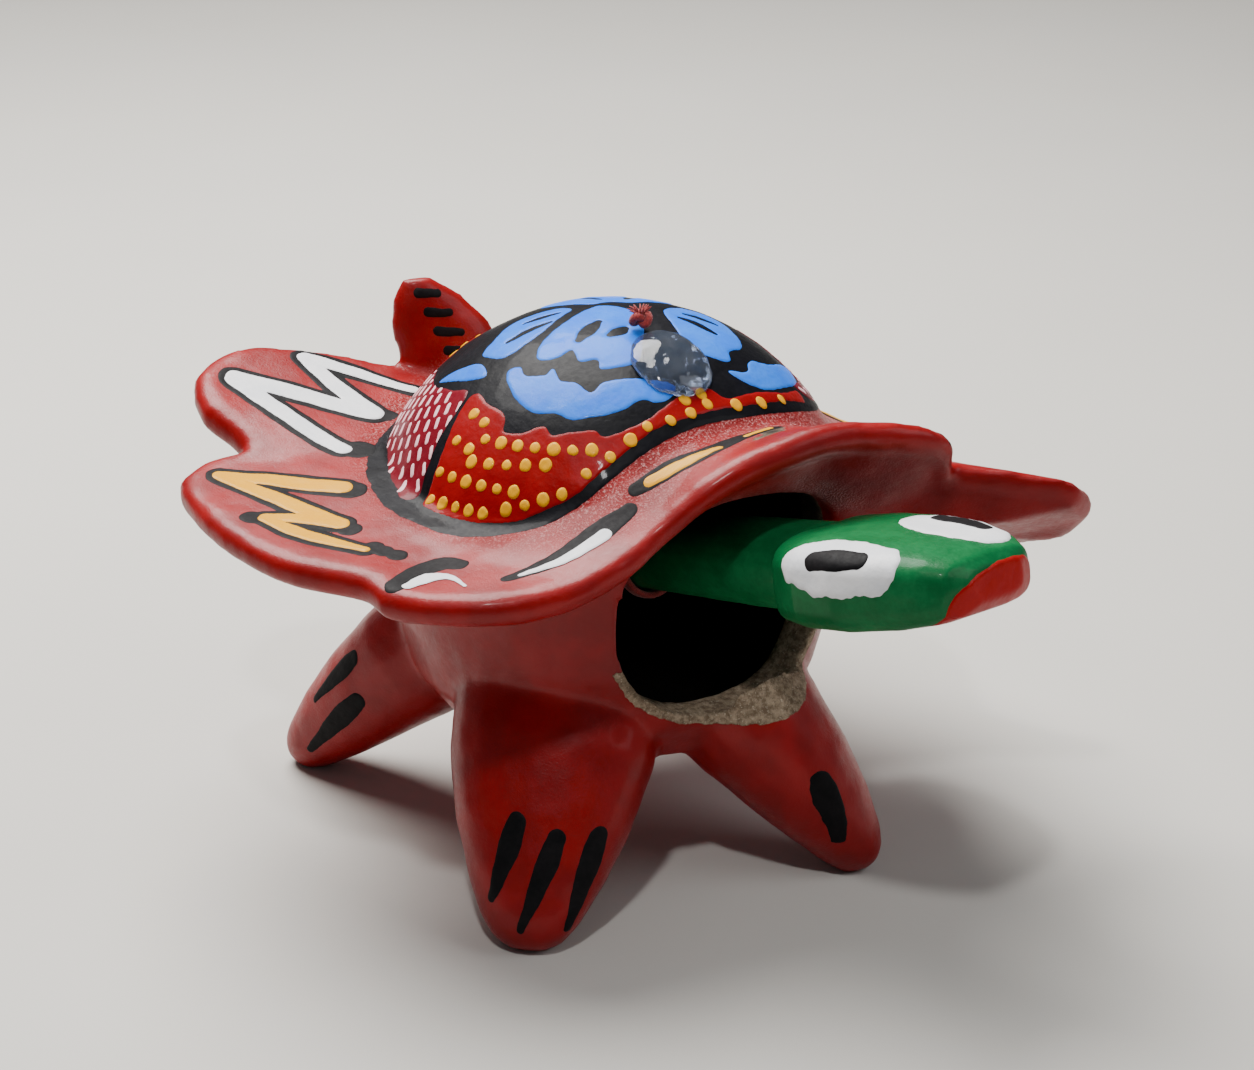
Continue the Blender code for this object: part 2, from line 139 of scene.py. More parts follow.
def luted(name, nodes, voxel, grow, shrink, rounds, lump, lump_size):
    """One skin over several of the frame's parts, their gaps closed and their edges softened.

    It is grown, remeshed and smoothed over some rounds, shrunk again and given low soft lumps.
    """
    bm = bmesh.new()
    for node in nodes:
        bm.from_mesh(frame["nodes"][node].data)
    bmesh.ops.remove_doubles(bm, verts=bm.verts, dist=1e-6)
    bm.normal_update()
    for vert in bm.verts:
        vert.co += vert.normal * grow
    mesh = bpy.data.meshes.new(name)
    bm.to_mesh(mesh)
    bm.free()
    item = new_object(name, mesh)
    remesh = item.modifiers.new("remesh", "REMESH")
    remesh.mode = "VOXEL"
    remesh.voxel_size = voxel
    smooth = item.modifiers.new("smooth", "SMOOTH")
    smooth.factor = 0.5
    smooth.iterations = rounds
    mesh = apply_modifiers(item)
    normals = vertex_normals(mesh)
    places = coordinates(mesh) - normals * shrink
    for k, place in enumerate(places):
        spot = Vector(place) / lump_size
        swell = noise.noise(spot) + 0.5 * noise.noise(spot * 2.7)
        places[k] = place + normals[k] * lump * swell
    set_coordinates(mesh, np.clip(places, CAD_LOW + Vector((PAINT_ROOM, PAINT_ROOM, FLOOR_ROOM)),
                                  CAD_HIGH - Vector((PAINT_ROOM, PAINT_ROOM, 0))))
    mesh.shade_smooth()
    return item


def tree(item):
    return BVHTree.FromPolygons([vert.co.copy() for vert in item.data.vertices],
                                [tuple(face.vertices) for face in item.data.polygons])


PIECES_PER_SPAN = 6                            # straight pieces of a curve between two points


def smooth_path(points, closed=False):
    """Catmull-Rom curve through points of any dimension."""
    points = [np.array(point, dtype=float) for point in points]
    count = len(points)
    if count == 1:
        return np.array(points)
    spans = count if closed else count - 1
    path = []
    for k in range(spans):
        if closed:
            a, b, c, d = (points[(k + step) % count] for step in (-1, 0, 1, 2))
        else:
            b, c = points[k], points[k + 1]
            a = points[k - 1] if k else 2 * b - c
            d = points[k + 2] if k + 2 < count else 2 * c - b
        for i in range(PIECES_PER_SPAN):
            t = i / PIECES_PER_SPAN
            path.append(0.5 * (2 * b + (c - a) * t + (2 * a - 5 * b + 4 * c - d) * t**2
                               + (3 * b - a - 3 * c + d) * t**3))
    if not closed:
        path.append(points[-1])
    return np.array(path)


def tube(bm, path, radius, sides=8, taper=0.0):
    """Add a round strand with narrowed closed ends along a path of vectors."""
    rings = []
    count = len(path)
    side = None
    for k, point in enumerate(path):
        along = (path[min(k + 1, count - 1)] - path[max(k - 1, 0)]).normalized()
        side = along.orthogonal().normalized() if side is None else \
            (side - along * side.dot(along)).normalized()
        other = along.cross(side)
        t = k / (count - 1)
        thick = radius * (1 - taper * t) * min(1.0, 0.45 + 6 * min(t, 1 - t))
        rings.append([bm.verts.new(point + (side * math.cos(a) + other * math.sin(a)) * thick)
                      for a in (2 * math.pi * j / sides for j in range(sides))])
    for first, second in zip(rings, rings[1:]):
        for j in range(sides):
            after = (j + 1) % sides
            bm.faces.new((first[j], first[after], second[after], second[j]))
    bm.faces.new(reversed(rings[0]))
    bm.faces.new(rings[-1])


def object_from(name, bm):
    bmesh.ops.recalc_face_normals(bm, faces=bm.faces)
    mesh = bpy.data.meshes.new(name)
    bm.to_mesh(mesh)
    bm.free()
    mesh.shade_smooth()
    return new_object(name, mesh)


# ---------------------------------------------------------------- drawn shapes, in millimetres
class Shape:
    """A flat shape: depth(u, v) is negative inside, and low and high bound it."""

    def __init__(self, depth, low, high):
        self.depth = depth
        self.low = np.array(low, dtype=float)
        self.high = np.array(high, dtype=float)

    def __add__(self, other):
        return Shape(lambda u, v: np.minimum(self.depth(u, v), other.depth(u, v)),
                     np.minimum(self.low, other.low), np.maximum(self.high, other.high))

    def __sub__(self, other):
        return Shape(lambda u, v: np.maximum(self.depth(u, v), -other.depth(u, v)),
                     self.low, self.high)

    def __and__(self, other):
        return Shape(lambda u, v: np.maximum(self.depth(u, v), other.depth(u, v)),
                     np.maximum(self.low, other.low), np.minimum(self.high, other.high))


def wobble(u, v, size):
    """Small unevenness of a brushed edge."""
    return size * (np.sin(2.1 * u + 1.3 * v) + np.sin(3.7 * v - 2.9 * u + 1.0)
                   + 0.6 * np.sin(6.3 * u + 5.1 * v)) / 2.6


def segment_depth(u, v, start, end):
    """Distance to a segment and the place of the nearest point along it."""
    run = end[:2] - start[:2]
    length = max(float(run @ run), 1e-9)
    t = np.clip(((u - start[0]) * run[0] + (v - start[1]) * run[1]) / length, 0, 1)
    return np.hypot(u - start[0] - run[0] * t, v - start[1] - run[1] * t), t


def stroke(*points, uneven=0.05):
    """A brush stroke through (u, v, half width) points."""
    path = smooth_path(points)
    if len(path) == 1:
        path = np.vstack([path, path + [[0.01, 0, 0]]])

    def depth(u, v):
        best = np.full(u.shape, 1e3)
        for start, end in zip(path, path[1:]):
            away, t = segment_depth(u, v, start, end)
            best = np.minimum(best, away - (start[2] + (end[2] - start[2]) * t))
        return best + wobble(u, v, uneven)

    reach = path[:, 2].max() + 0.3
    return Shape(depth, path[:, :2].min(0) - reach, path[:, :2].max(0) + reach)


def patch(points, uneven=0.06):
    """A filled smooth outline through (u, v) points."""
    path = smooth_path(points, closed=True)
    ends = np.roll(path, -1, axis=0)

    def depth(u, v):
        best = np.full(u.shape, 1e3)
        inside = np.zeros(u.shape, dtype=bool)
        for start, end in zip(path, ends):
            best = np.minimum(best, segment_depth(u, v, start, end)[0])
            if start[1] != end[1]:
                crosses = (start[1] > v) != (end[1] > v)
                meet = start[0] + (v - start[1]) / (end[1] - start[1]) * (end[0] - start[0])
                inside ^= crosses & (u < meet)
        return np.where(inside, -best, best) + wobble(u, v, uneven)

    return Shape(depth, path.min(0) - 0.4, path.max(0) + 0.4)


def together(shapes):
    whole = shapes[0]
    for shape in shapes[1:]:
        whole = whole + shape
    return whole


def polar(azimuth, arc):
    angle = math.radians(azimuth)
    return arc * math.cos(angle), arc * math.sin(angle)


def polar_patch(points, **options):
    return patch([polar(*point) for point in points], **options)


def polar_stroke(*points, **options):
    return stroke(*[(*polar(azimuth, arc), half) for azimuth, arc, half in points], **options)


# ---------------------------------------------------------------- paint laid on a surface
PAINT_SINK = 0.015                             # how far an edge of paint dips into what is under it
PAINT_SHOULDER = 0.3                           # width over which an edge of paint rounds off
PAINT_STRETCH = 6                              # faces longer than this many steps are torn out
CUT_MARGIN = 0.06                              # keeps cut points off the corners of the grid
# what lies under the paint and how thick it is, in millimetres
GROUND = (0.03, 0.05)
PANEL = (0.08, 0.05)
WING = (0.08, 0.06)
DOT = (0.13, 0.09)
DASH = (0.13, 0.05)
OUTLINE = (0.02, 0.05)
FILL = (0.07, 0.07)
CLAW = (0.02, 0.08)
BAR = (0.02, 0.06)
EYE_WHITE = (0.02, 0.12)
EYE_PUPIL = (0.14, 0.08)
LIPS = (0.02, 0.1)


def trace(shape, step):
    """Cover a shape with flat faces: squares of a grid, cut along the shape's edge.

    Returns the points as (u, v, depth) and the faces as loops of their indices.
    """
    low, high = shape.low - step, shape.high + step
    counts = np.ceil((high - low) / step).astype(int) + 1
    us = low[0] + step * np.arange(counts[0])
    vs = low[1] + step * np.arange(counts[1])
    depth = shape.depth(*np.meshgrid(us, vs, indexing="ij"))
    inside = depth < 0
    some = inside[:-1, :-1] | inside[1:, :-1] | inside[1:, 1:] | inside[:-1, 1:]
    index = {}
    flat = []

    def corner(i, j):
        key = (i, j)
        if key not in index:
            index[key] = len(flat)
            flat.append((us[i], vs[j], depth[i, j]))
        return index[key]

    def crossing(i, j, k, m):
        key = (min(i, k), min(j, m), "across" if i != k else "along")
        if key not in index:
            index[key] = len(flat)
            t = float(np.clip(depth[i, j] / (depth[i, j] - depth[k, m]), CUT_MARGIN, 1 - CUT_MARGIN))
            flat.append((us[i] + (us[k] - us[i]) * t, vs[j] + (vs[m] - vs[j]) * t, 0.0))
        return index[key]

    faces = []
    for i, j in zip(*np.nonzero(some)):
        loop = []
        ring = ((i, j), (i + 1, j), (i + 1, j + 1), (i, j + 1))
        for here, there in zip(ring, ring[1:] + ring[:1]):
            if inside[here]:
                loop.append(corner(*here))
            if inside[here] != inside[there]:
                loop.append(crossing(*here, *there))
        faces.append(loop)
    return flat, faces


def paint(name, shape, spot, layer, material, body, slot, step=0.16):
    """A thin raised piece of paint over a chart. spot(u, v) gives a point and its outward side.

    Faces are left out where the chart misses the surface or jumps from one part of it to another.
    """
    base, thick = layer
    flat, faces = trace(shape, step)
    places = []
    outwards = []
    for u, v, deep in flat:
        place, outward = spot(u, v) or (None, None)
        outwards.append(outward)
        if outward is None:
            places.append(np.zeros(3))
            continue
        rise = min(-deep / PAINT_SHOULDER, 1.0)
        height = base - PAINT_SINK + thick * math.sqrt(max(1 - (1 - rise)**2, 0.0))
        places.append(np.clip(place + outward * height * MM, CAD_LOW, CAD_HIGH))

    def whole(face):
        if any(outwards[k] is None for k in face):
            return False
        widest = max(np.linalg.norm(places[face[0]] - places[k]) for k in face)
        return widest < PAINT_STRETCH * step * MM

    sheet = [face for face in faces if whole(face)]
    probe = sheet[len(sheet) // 2]
    a, b, c = (Vector(places[k]) for k in probe[:3])
    if (b - a).cross(c - a).dot(outwards[probe[0]]) < 0:
        sheet = [face[::-1] for face in sheet]
    mesh = bpy.data.meshes.new(name)
    mesh.from_pydata(places, [], sheet)
    bm = bmesh.new()
    bm.from_mesh(mesh)
    loose = [vert for vert in bm.verts if not vert.link_faces]
    bmesh.ops.delete(bm, geom=loose, context="VERTS")
    bm.to_mesh(mesh)
    bm.free()
    mesh.shade_smooth()
    finish_piece(new_object(name, mesh), body, slot, material)


# ---------------------------------------------------------------- materials
def srgb(*channels):
    values = [channel / 255 for channel in channels]
    return (*[value / 12.92 if value <= 0.04045 else ((value + 0.055) / 1.055)**2.4
              for value in values], 1.0)


class Nodes:
    """Short ways to add shader nodes to one material, placed by the object's own coordinates."""

    def __init__(self, name):
        self.material = bpy.data.materials.new(name)
        self.material.use_nodes = True
        self.tree = self.material.node_tree
        self.shader = self.tree.nodes["Principled BSDF"]
        self.where = self.add("ShaderNodeTexCoord").outputs["Object"]

    def add(self, kind, **settings):
        node = self.tree.nodes.new(kind)
        for key, value in settings.items():
            setattr(node, key, value)
        return node

    def link(self, value, socket):
        if isinstance(value, bpy.types.NodeSocket):
            self.tree.links.new(value, socket)
        else:
            socket.default_value = value

    def noise(self, scale, detail=3.0, roughness=0.55, distortion=0.0):
        """Noise of about one feature per millimetre at scale 1."""
        node = self.add("ShaderNodeTexNoise")
        self.link(self.where, node.inputs["Vector"])
        node.inputs["Scale"].default_value = scale / MM
        node.inputs["Detail"].default_value = detail
        node.inputs["Roughness"].default_value = roughness
        node.inputs["Distortion"].default_value = distortion
        return node.outputs["Fac"]

    def ramp(self, value, low, high, start=0.0, end=1.0):
        """Ease from start to end while the value goes from low to high."""
        node = self.add("ShaderNodeMapRange", interpolation_type="SMOOTHSTEP")
        self.link(value, node.inputs["Value"])
        for key, number in (("From Min", low), ("From Max", high), ("To Min", start), ("To Max", end)):
            node.inputs[key].default_value = number
        return node.outputs["Result"]

    def math(self, operation, first, second=0.0):
        node = self.add("ShaderNodeMath", operation=operation)
        self.link(first, node.inputs[0])
        self.link(second, node.inputs[1])
        return node.outputs[0]

    def mix(self, factor, first, second):
        node = self.add("ShaderNodeMix", data_type="RGBA")
        self.link(factor, node.inputs[0])
        self.link(first, node.inputs[6])
        self.link(second, node.inputs[7])
        return node.outputs[2]

    def distance(self, place):
        node = self.add("ShaderNodeVectorMath", operation="DISTANCE")
        self.link(self.where, node.inputs[0])
        node.inputs[1].default_value = place
        return node.outputs["Value"]

    def attribute(self, name):
        return self.add("ShaderNodeAttribute", attribute_name=name).outputs["Fac"]

    def bump(self, *layers):
        """Stack bumps of (height, distance, strength)."""
        normal = None
        for height, distance, strength in layers:
            node = self.add("ShaderNodeBump")
            node.inputs["Distance"].default_value = distance
            node.inputs["Strength"].default_value = strength
            self.link(height, node.inputs["Height"])
            if normal:
                self.link(normal, node.inputs["Normal"])
            normal = node.outputs["Normal"]
        self.link(normal, self.shader.inputs["Normal"])

    def set(self, **values):
        for key, value in values.items():
            self.link(value, self.shader.inputs[key.replace("_", " ")])


def enamel(name, colour, worn, thin=0.35, roughness=0.32, coat=0.07):
    """Hand-brushed paint: colour that streaks into a worn one where thin, over soft lumps."""
    nodes = Nodes(name)
    broad = nodes.noise(0.35, 3.0)
    fine = nodes.noise(2.4, 4.0, 0.65)
    streak = nodes.ramp(nodes.math("ADD", broad, nodes.math("MULTIPLY", fine, 0.5)), 0.55, 1.0)
    nodes.set(Base_Color=nodes.mix(nodes.math("MULTIPLY", streak, thin), colour, worn),
              Roughness=nodes.ramp(fine, 0.3, 0.75, roughness, roughness + 0.14))
    nodes.set(Coat_Weight=coat, Coat_Roughness=0.07, Specular_IOR_Level=0.08)
    nodes.bump((nodes.noise(0.55, 2.0), 0.4 * MM, 0.2), (fine, 0.06 * MM, 0.5))
    return nodes.material


DUST_WIDTH = 4.2 * MM                          # reach of the dust out from the dome
DUST_HEIGHTS = (31 * MM, 33.5 * MM)            # between these heights it sets in


def red_clay_enamel():
    """Red over coarse clay: dusty beside the dome, bare clay at the opening, and painted shade inside the
    hollow, where the bare clay is darkened to near black.
    """
    nodes = Nodes("red_enamel")
    broad = nodes.noise(0.22, 3.0)
    fine = nodes.noise(1.6, 5.0, 0.7)
    grain = nodes.noise(5.0, 3.0, 0.7)
    bare = nodes.ramp(nodes.math("ADD", nodes.attribute("bare"),
                                 nodes.math("MULTIPLY", nodes.math("SUBTRACT", fine, 0.5), 0.5)),
                      0.42, 0.58)
    # deep: the inside of the hollow, where painted shade darkens the bare clay
    deep = nodes.attribute("deep")
    red = nodes.mix(nodes.ramp(broad, 0.3, 0.7), srgb(122, 4, 8), srgb(142, 10, 14))
    red = nodes.mix(nodes.ramp(fine, 0.55, 0.85, 0.0, 0.3), red, srgb(112, 8, 14))
    near_dome = nodes.ramp(nodes.distance(DOME_CENTRE), DOME_RADIUS + 0.2 * MM,
                           DOME_RADIUS + DUST_WIDTH, 1.0, 0.0)
    split = nodes.add("ShaderNodeSeparateXYZ")
    nodes.link(nodes.where, split.inputs[0])
    near_dome = nodes.math("MULTIPLY", near_dome, nodes.ramp(split.outputs["Z"], *DUST_HEIGHTS))
    speck = nodes.math("MULTIPLY", near_dome, nodes.ramp(grain, 0.5, 0.66))
    red = nodes.mix(nodes.math("MULTIPLY", speck, 0.75), red, srgb(205, 150, 148))
    clay = nodes.mix(nodes.ramp(fine, 0.35, 0.7), srgb(112, 94, 76), srgb(176, 156, 132))
    clay = nodes.mix(nodes.ramp(grain, 0.56, 0.74), clay, srgb(208, 194, 172))
    # painted shade: the bare clay inside the hollow is darkened to near black
    clay = nodes.mix(deep, clay, srgb(30, 24, 21))
    rough = nodes.math("ADD", nodes.ramp(fine, 0.3, 0.75, 0.34, 0.48),
                       nodes.math("MULTIPLY", nodes.math("MAXIMUM", bare, speck), 0.5))
    nodes.set(Base_Color=nodes.mix(bare, red, clay), Roughness=rough, Specular_IOR_Level=0.2,
              Coat_Roughness=0.16,
              Coat_Weight=nodes.ramp(nodes.math("MAXIMUM", bare, speck), 0.2, 0.8, 0.12, 0.0))
    pits = nodes.math("MULTIPLY", grain, nodes.math("ADD", nodes.math("MAXIMUM", bare, near_dome), 0.12))
    nodes.bump((nodes.noise(0.3, 2.0), 0.4 * MM, 0.3), (fine, 0.08 * MM, 0.35), (pits, 0.3 * MM, 0.8))
    return nodes.material


def thread_material():
    nodes = Nodes("red_thread")
    fibre = nodes.noise(9.0, 4.0, 0.7, 0.6)
    nodes.set(Base_Color=nodes.mix(nodes.ramp(fibre, 0.35, 0.7), srgb(120, 22, 24), srgb(190, 58, 54)),
              Roughness=0.85, Sheen_Weight=0.3)
    nodes.bump((fibre, 0.08 * MM, 0.8))
    return nodes.material


def glue_material():
    nodes = Nodes("clear_glue")
    cloud = nodes.noise(0.5, 3.0)
    nodes.set(Base_Color=nodes.mix(nodes.ramp(cloud, 0.35, 0.7), srgb(150, 168, 200), srgb(206, 214, 226)),
              Roughness=0.1, Transmission_Weight=0.95, IOR=1.38, Specular_IOR_Level=0.3)
    nodes.bump((nodes.noise(0.7, 2.0), 0.3 * MM, 0.35))
    return nodes.material


def floor_material():
    nodes = Nodes("pale_floor")
    nodes.set(Base_Color=nodes.mix(nodes.noise(0.02, 2.0), srgb(188, 185, 179), srgb(196, 193, 187)),
              Roughness=0.75)
    return nodes.material


RED = red_clay_enamel()
BLACK = enamel("black_enamel", srgb(8, 8, 12), srgb(20, 20, 28), roughness=0.42, coat=0.04)
LINE_BLACK = enamel("line_black_enamel", srgb(14, 14, 16), srgb(40, 36, 38), roughness=0.5, coat=0.0)
BLUE = enamel("blue_enamel", srgb(22, 104, 220), srgb(46, 128, 230), thin=0.5)
YELLOW = enamel("yellow_enamel", srgb(214, 150, 0), srgb(224, 164, 2), thin=0.5, roughness=0.34)
WHITE = enamel("white_enamel", srgb(226, 226, 228), srgb(200, 204, 212), thin=0.5, roughness=0.3)
PANEL_RED = enamel("panel_red_enamel", srgb(138, 8, 12), srgb(112, 6, 12), thin=0.5)
DARK_RED = enamel("dark_red_enamel", srgb(96, 8, 24), srgb(124, 18, 34), thin=0.5)
PINK = enamel("pink_enamel", srgb(226, 170, 178), srgb(240, 214, 216), thin=0.5, roughness=0.35)
GREEN = enamel("green_enamel", srgb(10, 88, 46), srgb(28, 112, 64), thin=0.6)
DARK_GREEN = enamel("dark_green_enamel", srgb(18, 70, 46), srgb(34, 98, 64), thin=0.6)
SCARLET = enamel("scarlet_enamel", srgb(150, 14, 16), srgb(172, 30, 28), thin=0.5)
THREAD = thread_material()
GLUE = glue_material()

# ---------------------------------------------------------------- the clay body
BODY_NODES = ["body_bowl", "shell_dome", "shell_rim", "leg_front_right", "leg_front_left",
              "leg_rear_right", "leg_rear_left", "tail_fin"]


def spread(mesh, values, rounds):
    """Blur a value over a mesh by averaging along its edges."""
    edges = np.empty(len(mesh.edges) * 2, dtype=int)
    mesh.edges.foreach_get("vertices", edges)
    first, second = edges.reshape(-1, 2).T
    count = np.bincount(first, minlength=len(values)) + np.bincount(second, minlength=len(values))
    for _ in range(rounds):
        total = (np.bincount(first, values[second], minlength=len(values))
                 + np.bincount(second, values[first], minlength=len(values)))
        values = 0.5 * values + 0.5 * total / np.maximum(count, 1)
    return values


# where clay is bare, as radii from the shell's axis and heights over the floor
CAVITY_RADIUS = 19 * MM
CAVITY_BOTTOM = 11 * MM
CAVITY_FLOOR_RADIUS = 16.5 * MM
CAVITY_FLOOR_TOP = 18 * MM
CEILING_RADIUS = 18.5 * MM
CEILING_BOTTOM = 34 * MM
WALL_AHEAD = (11 * MM, 21 * MM)                # how far ahead of the axis the opening's wall lies
WALL_SQUARENESS = 2.4                          # of the opening's outline, 2 being an ellipse
WALL_REACH = 1.2                               # how far past that outline the wall still counts
BAND_DROP = 4 * MM                             # the bare band starts this far below the opening's middle


def mark_bare_clay(mesh):
    """Mark the unpainted inside of the bowl and the lower part of the neck opening's wall, and mark the
    inside alone as deep, where the material paints shade.
    """
    places = coordinates(mesh) - np.array(AXIS)
    normals = vertex_normals(mesh)
    radius = np.hypot(places[:, 0], places[:, 1])
    outward = (normals[:, 0] * places[:, 0] + normals[:, 1] * places[:, 1]) / np.maximum(radius, 1e-6)
    upward = normals[:, 2]
    height = places[:, 2]
    inside = (outward < -0.25) & (radius < CAVITY_RADIUS) & (height > CAVITY_BOTTOM)
    inside |= ((upward > 0.3) & (radius < CAVITY_FLOOR_RADIUS)
               & (height > CAVITY_BOTTOM) & (height < CAVITY_FLOOR_TOP))
    inside |= (upward < -0.3) & (radius < CEILING_RADIUS) & (height > CEILING_BOTTOM)
    ahead = places[:, 0] * math.cos(OPENING_AZIMUTH) + places[:, 1] * math.sin(OPENING_AZIMUTH)
    aside = places[:, 1] * math.cos(OPENING_AZIMUTH) - places[:, 0] * math.sin(OPENING_AZIMUTH)
    edge = (np.abs(aside) / OPENING_HALF[0])**WALL_SQUARENESS
    edge += (np.abs(height - OPENING_MIDDLE) / OPENING_HALF[1])**WALL_SQUARENESS
    wall = (edge < WALL_REACH) & (ahead > WALL_AHEAD[0]) & (ahead < WALL_AHEAD[1])
    band = wall & (height < OPENING_MIDDLE - BAND_DROP)
    bare = spread(mesh, (inside | band).astype(float), 2)
    mesh.attributes.new("bare", "FLOAT", "POINT").data.foreach_set("value", bare)
    # deep marks the inside of the hollow for the painted shade in the red enamel material
    deep = spread(mesh, (inside & ~band).astype(float), 4)
    mesh.attributes.new("deep", "FLOAT", "POINT").data.foreach_set("value", deep)


body = luted("clay_body", BODY_NODES, voxel=0.45 * MM, grow=0.22 * MM, shrink=0.15 * MM, rounds=8,
             lump=0.09 * MM, lump_size=5 * MM)
mark_bare_clay(body.data)
finish_piece(body, "root", "red_enamel", RED, *BODY_NODES)
BODY_TREE = tree(body)


DOME_RAY_ROOM = 3 * MM                         # rays start this far off the dome, clear of the tail
TOP_STEEPEST = 0.12                            # cosine between a chart's side and the steepest clay
SIDE_STEEPEST = 0.08


def dome_spot(u, v):
    """Chart of the dome: u forward and v left, measured along it from its top."""
    arc = math.hypot(u, v)
    angle = arc * MM / DOME_RADIUS
    if arc < 1e-6:
        outward = Vector((0, 0, 1))
    else:
        outward = Vector((u / arc * math.sin(angle), v / arc * math.sin(angle), math.cos(angle)))
    start = DOME_CENTRE + outward * (DOME_RADIUS + DOME_RAY_ROOM)
    hit = BODY_TREE.ray_cast(start, -outward)[0]
    reach = max(DOME_RADIUS, (hit - DOME_CENTRE).length if hit else 0.0)
    return DOME_CENTRE + outward * reach, outward


def top_spot(u, v):
    """Chart seen from above: u forward and v left of the shell's axis."""
    start = AXIS + Vector((u * MM, v * MM, 70 * MM))
    hit, normal, _, _ = BODY_TREE.ray_cast(start, Vector((0, 0, -1)))
    if hit is None or normal.z < TOP_STEEPEST:
        return None
    return hit, Vector((0, 0, 1))


def side_chart(surface, origin, facing, left, up, reach=30 * MM, deepest=60 * MM):
    """Chart seen from one side: u to the left and v up from the origin.

    Rays start at reach in front of the origin and end after deepest.
    """
    def spot(u, v):
        start = origin + facing * reach + left * u * MM + up * v * MM
        hit, normal, _, _ = surface.ray_cast(start, -facing, deepest)
        if hit is None or normal.dot(facing) < SIDE_STEEPEST:
            return None
        return hit, facing
    return spot


# ---------------------------------------------------------------- paint on the dome
# outlines as (azimuth, arc from the top of the dome)
RING = [(-118, 23.8), (-103, 24.6), (-87, 25.2), (-74, 25.4), (-60, 25.3), (-46, 23.9), (-36, 22.0),
        (-26, 19.3), (-11, 16.4), (6, 15.4), (28, 16.2), (51, 18.4), (68, 20.6), (85, 22.0),
        (110, 22.6), (140, 22.0), (160, 20.8), (178, 20.2), (-162, 20.2), (-148, 21.2), (-134, 22.8)]
RED_PANEL = [(-83, 14.2), (-73, 14.6), (-65, 14.9), (-62, 16.3), (-56, 16.1), (-49, 15.2), (-45, 15.8),
             (-38, 15.3), (-32, 15.1), (-28, 15.6), (-20, 14.9), (-12, 14.0), (1, 12.4), (8, 11.8),
             (16, 12.4), (21, 13.8), (34, 14.4), (50, 16.2), (60, 17.4), (58, 18.4), (49, 17.0),
             (33, 15.5), (15, 14.5), (1, 14.5), (-11, 15.1), (-22, 17.0), (-30, 19.0), (-36, 20.8),
             (-46, 22.7), (-53, 23.6), (-63, 24.2), (-76, 24.3), (-78, 22.6), (-80, 19.4), (-84, 16.0)]
DARK_PANEL = [(-87, 14.6), (-96, 15.2), (-112, 16.6), (-132, 17.6), (-134, 21.8), (-118, 22.8),
              (-103, 23.6), (-90, 24.2), (-81, 24.4), (-82, 22.0), (-84, 19.0)]
FAR_DARK_PANEL = [(62, 17.0), (75, 18.0), (88, 14.6), (96, 13.4), (97, 21.4), (82, 21.0), (68, 19.8)]
FAR_RED_PANEL = [(100, 13.0), (112, 14.2), (124, 12.8), (138, 14.2), (152, 12.8), (168, 14.2),
                 (184, 13.0), (200, 14.6), (214, 14.0), (222, 16.2), (222, 21.0), (206, 19.8),
                 (190, 19.4), (170, 19.8), (140, 21.2), (101, 21.7)]
# rows of dots: azimuth and arc of the first, of the last, and how many
DOT_ROWS = [(-76, 23.6, -59, 23.2, 5), (-53, 22.5, -39, 20.6, 4), (-33, 18.8, -20, 15.9, 3),
            (-14, 14.8, 3, 14.1, 3), (11, 13.7, 45, 16.3, 4), (-77, 21.3, -52, 21.0, 6),
            (-68, 19.5, -45, 18.4, 5), (-77, 18.4, -71, 18.6, 2), (-67, 17.4, -32, 16.8, 7),
            (-77, 15.8, -71, 16.1, 2), (3, 12.8, 11, 12.6, 2)]
FAR_DOT_ROWS = [(104, 15.4 + 2.1 * k, 218, 15.4 + 1.5 * k, 15 + k) for k in range(3)]
DOT_SIZE = 0.52                                # half width of a dot of paint
WINGS = {
    "upper_wing": [(-148, 2.2), (-84, 6.3), (-76, 8.1), (-69, 9.0), (-59, 8.2), (-54, 7.0), (-45, 8.2),
                   (-35, 7.8), (-32, 8.8), (-22, 8.6), (-8, 8.0), (6, 5.0), (60, 2.2), (150, 1.6)],
    "lower_wing": [(-78, 11.4), (-75, 10.4), (-68, 10.9), (-59, 10.4), (-57, 9.5), (-50, 10.6),
                   (-42, 10.6), (-35, 11.5), (-29, 10.3), (-19, 10.0), (-9, 10.2), (2, 11.3),
                   (-1, 12.3), (-8, 12.7), (-14, 12.3), (-21, 13.1), (-28, 13.6), (-39, 14.2),
                   (-47, 13.8), (-54, 14.1), (-60, 13.7), (-67, 13.0)],
    "right_upper_wing": [(88, 4.8), (50, 5.2), (29, 8.0), (36, 10.5), (41, 11.1), (48, 10.5),
                         (59, 11.3), (72, 11.2), (88, 10.4), (100, 8.4)],
    "right_lower_wing": [(33, 11.7), (42, 12.7), (52, 12.4), (62, 14.2), (76, 16.6), (71, 17.4),
                         (62, 17.0), (45, 15.2), (37, 13.8)],
    "left_upper_wing": [(-144, 3.9), (-142, 6.7), (-127, 9.0), (-113, 10.3), (-103, 11.5), (-89, 10.2),
                        (-91, 7.1), (-112, 4.6)],
    "left_lower_wing": [(-110, 16.0), (-106, 13.6), (-96, 12.0), (-87, 12.6), (-95, 13.9)],
    "rear_wing": [(-168, 3.4), (164, 3.0), (122, 4.2), (116, 8.6), (136, 10.4), (158, 9.4), (178, 10.2),
                  (-160, 8.8)],
}
# slots left black in the wings: azimuth and arc of both ends, and the half width between them
WING_MARKS = [(-54, 2.4, -55, 5.6, 0.72), (-28, 4.4, -6, 3.4, 0.6), (70, 5.8, 62, 8.8, 0.6),
              (84, 6.6, 80, 9.4, 0.5), (-102, 9.2, -109, 5.2, 0.42), (-122, 7.6, -130, 4.6, 0.4),
              (168, 4.6, 176, 8.2, 0.5), (140, 4.8, 142, 8.4, 0.5)]


